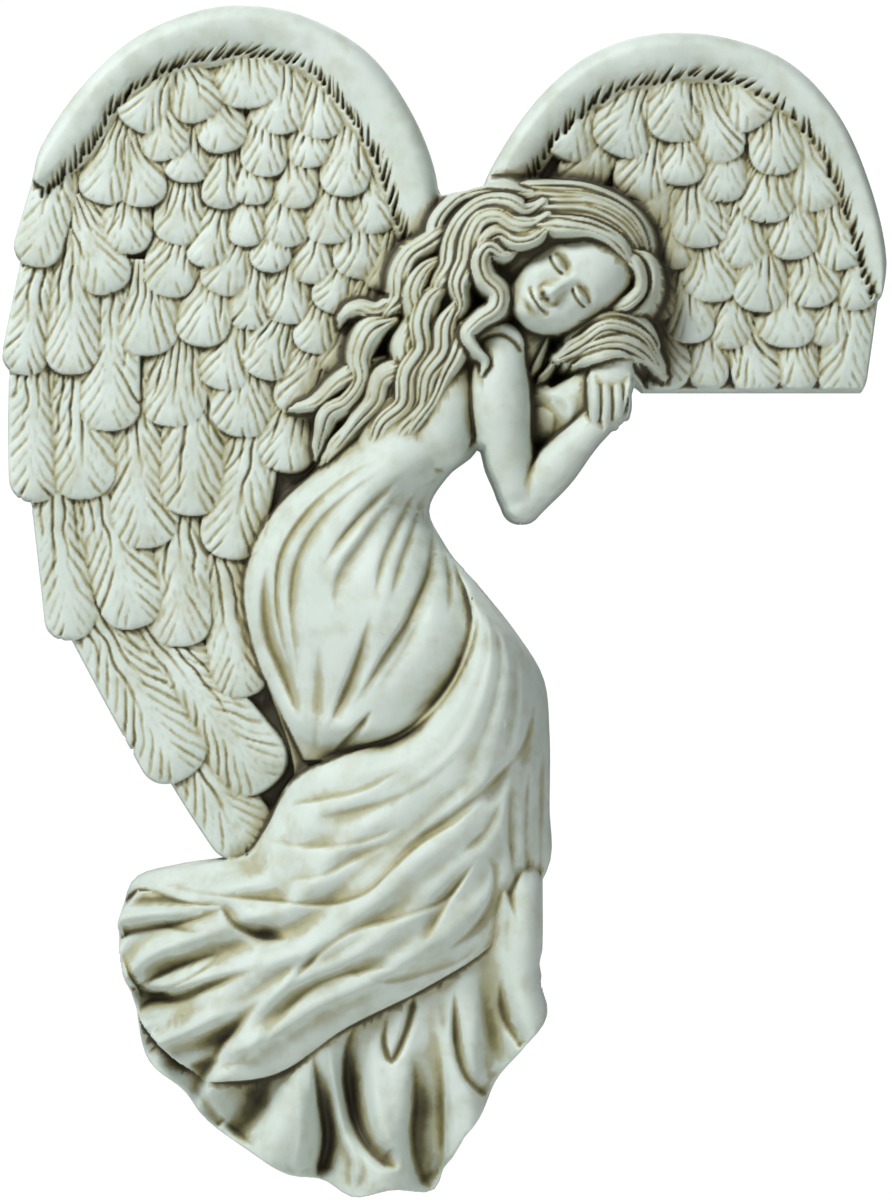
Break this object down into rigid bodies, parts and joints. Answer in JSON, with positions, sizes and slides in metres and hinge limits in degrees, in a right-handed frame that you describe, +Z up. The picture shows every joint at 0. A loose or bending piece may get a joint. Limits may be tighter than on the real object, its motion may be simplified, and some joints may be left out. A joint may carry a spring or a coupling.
{
  "type": "angel door frame ornament",
  "caption": "Flat-backed cast angel asleep between two feathered wings, made to sit over the corner of a door frame or hang on a wall.",
  "frame": {"origin": "on the flat back, midway across the ornament, level with the ledge under the right wing that rests on the door frame", "axes": "+Y into the wall, so the front faces -Y; +Z up; +X to the viewer's right, towards the smaller wing"},
  "size_m": [0.1192, 0.0188, 0.1607],
  "materials": {
    "antiqued_resin": "cast polyresin, off-white with a grey-green tint, satin-matte, with a brown and ochre wash left in the recesses"
  },
  "bodies": {
    "root": {"angel_ornament": "antiqued_resin"}
  },
  "joints": []
}
